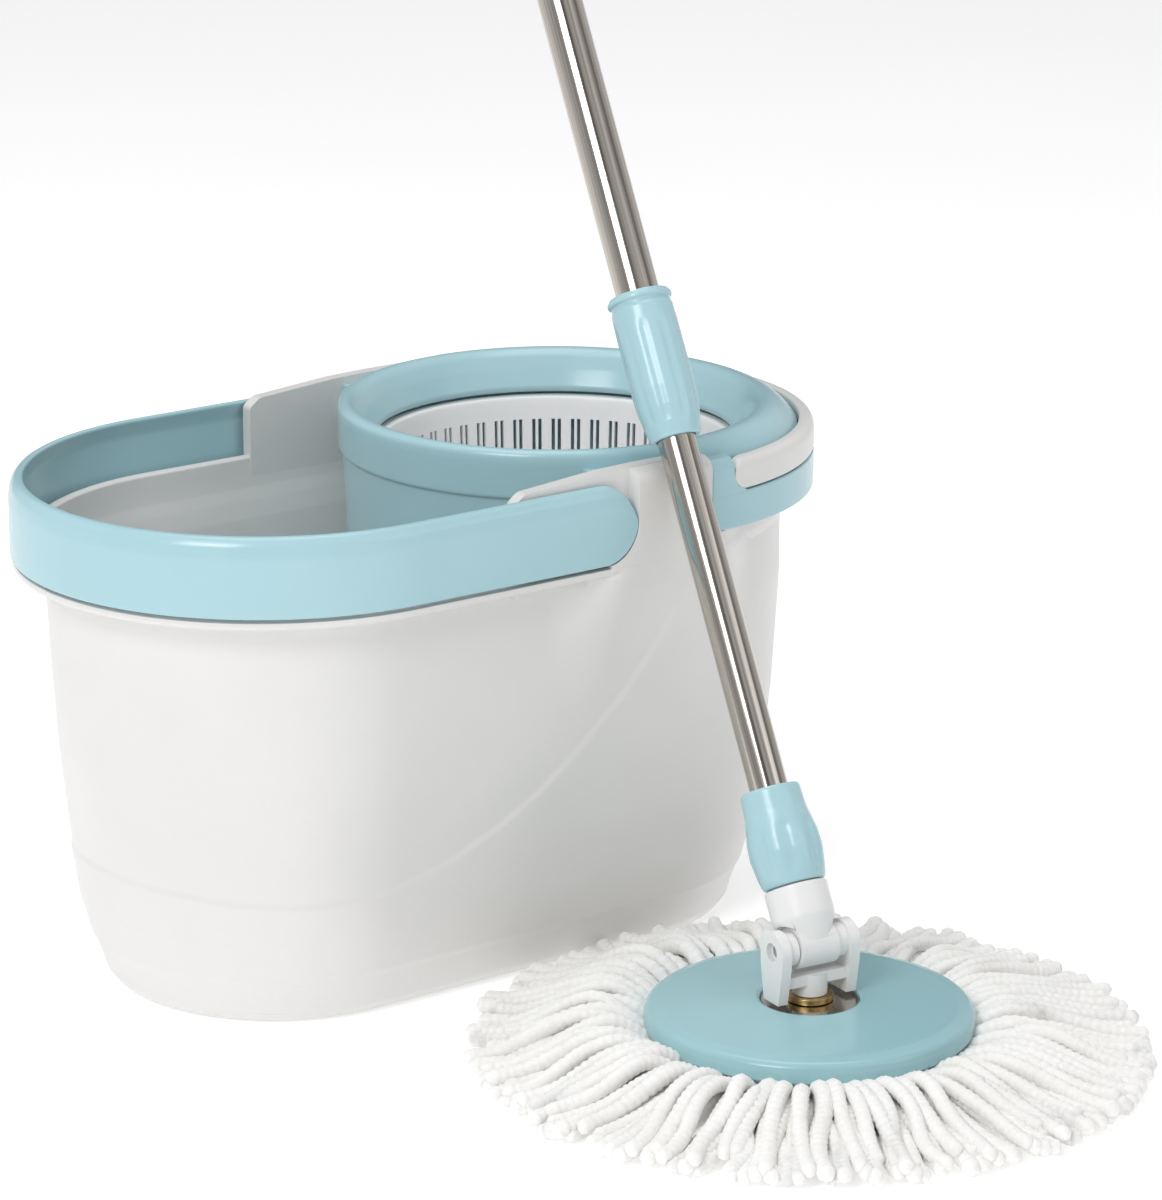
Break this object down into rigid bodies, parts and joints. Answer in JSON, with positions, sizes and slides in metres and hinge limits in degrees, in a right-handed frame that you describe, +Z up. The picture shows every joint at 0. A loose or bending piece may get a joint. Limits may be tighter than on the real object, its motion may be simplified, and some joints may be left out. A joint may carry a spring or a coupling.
{
  "type": "spin mop",
  "caption": "Floor mop with a round swivel head and twist-drive pole, leaning on a two-lobed bucket with a spinning wringer basket and a folding handle.",
  "frame": {"origin": "centre of the bucket's flat base", "axes": "+Z up; X along the bucket's length, with the wringer at +X; the mop stands on the -Y side and its pole leans towards +Y"},
  "size_m": [0.4372, 0.6732, 0.9407],
  "materials": {
    "pale_grey_plastic": "fine satin moulding",
    "white_plastic": "satin moulding",
    "blue_plastic": "semi-gloss moulding",
    "yarn": "twisted microfibre yarn",
    "stainless": "polished tube, drawn along its length",
    "zinc_steel": "zinc-plated",
    "brass": "turned"
  },
  "bodies": {
    "bucket": {"bucket_body": "pale_grey_plastic", "wringer_frame": "blue_plastic", "basket_spindle": "zinc_steel", "thrust_washer": "brass", "nut_washer": "zinc_steel", "spindle_nut": "zinc_steel", "carry_pin_front": "zinc_steel", "carry_pin_back": "zinc_steel", "tilt_pin_front": "zinc_steel", "tilt_pin_back": "zinc_steel"},
    "carry_handle": {"carry_handle": "blue_plastic"},
    "tilt_handle": {"tilt_handle": "pale_grey_plastic"},
    "basket": {"spin_basket": "pale_grey_plastic", "basket_bush": "white_plastic", "basket_cap": "pale_grey_plastic"},
    "yoke": {"yoke": "white_plastic", "yoke_pin": "zinc_steel", "swivel_bolt": "zinc_steel", "swivel_washer_brass": "brass"},
    "disc": {"head_disc": "blue_plastic", "swivel_washer_steel": "stainless", "refill_ring": "white_plastic", "refill_strands": "yarn"},
    "lower_pole": {"pole_socket": "white_plastic", "socket_sleeve": "blue_plastic", "lower_tube": "stainless", "clutch_ring": "zinc_steel"},
    "drive_nut": {"drive_nut": "white_plastic"},
    "upper_pole": {"upper_tube": "stainless", "lock_liner": "white_plastic", "drive_rod": "zinc_steel", "rod_anchor": "white_plastic", "hand_grip": "blue_plastic", "hang_loop": "blue_plastic"},
    "lock_sleeve": {"lock_sleeve": "blue_plastic"}
  },
  "joints": [
    {"name": "carry_handle_swing", "type": "hinge", "parent": "bucket", "child": "carry_handle", "pos_m": [0.0205, 0, 0.2405], "axis": [0, 1, 0], "range_deg": [0, 90]},
    {"name": "tilt_handle_swing", "type": "hinge", "parent": "bucket", "child": "tilt_handle", "pos_m": [0.1095, 0, 0.254], "axis": [0, -1, 0], "range_deg": [0, 90]},
    {"name": "basket_spin", "type": "hinge", "parent": "bucket", "child": "basket", "pos_m": [0.085, 0, 0], "axis": [0, 0, 1], "continuous": true},
    {"name": "mop_lift", "type": "slide", "parent": "bucket", "child": "yoke", "axis": [0, -0.64, 0.7684], "range_m": [0, 0.3]},
    {"name": "disc_spin", "type": "hinge", "parent": "yoke", "child": "disc", "pos_m": [0.047, -0.259, 0], "axis": [0, 0, 1], "continuous": true},
    {"name": "pole_tilt", "type": "hinge", "parent": "yoke", "child": "lower_pole", "pos_m": [0.047, -0.259, 0.0576], "axis": [0.9936, -0.1132, 0], "range_deg": [0, 110]},
    {"name": "pole_stroke", "type": "slide", "parent": "lower_pole", "child": "upper_pole", "axis": [0.0565, 0.4962, 0.8664], "range_m": [0, 0.18]},
    {"name": "drive_nut_turn", "type": "hinge", "parent": "lower_pole", "child": "drive_nut", "pos_m": [0.047, -0.259, 0.0576], "axis": [0.0565, 0.4962, 0.8664], "range_deg": [0, 540.1]},
    {"name": "lock_twist", "type": "hinge", "parent": "upper_pole", "child": "lock_sleeve", "pos_m": [0.047, -0.259, 0.0576], "axis": [0.0565, 0.4962, 0.8664], "range_deg": [0, 90]}
  ],
  "couplings": [
    {"joint": "drive_nut_turn", "follows": "pole_stroke", "rad_per_m": 52.36}
  ]
}
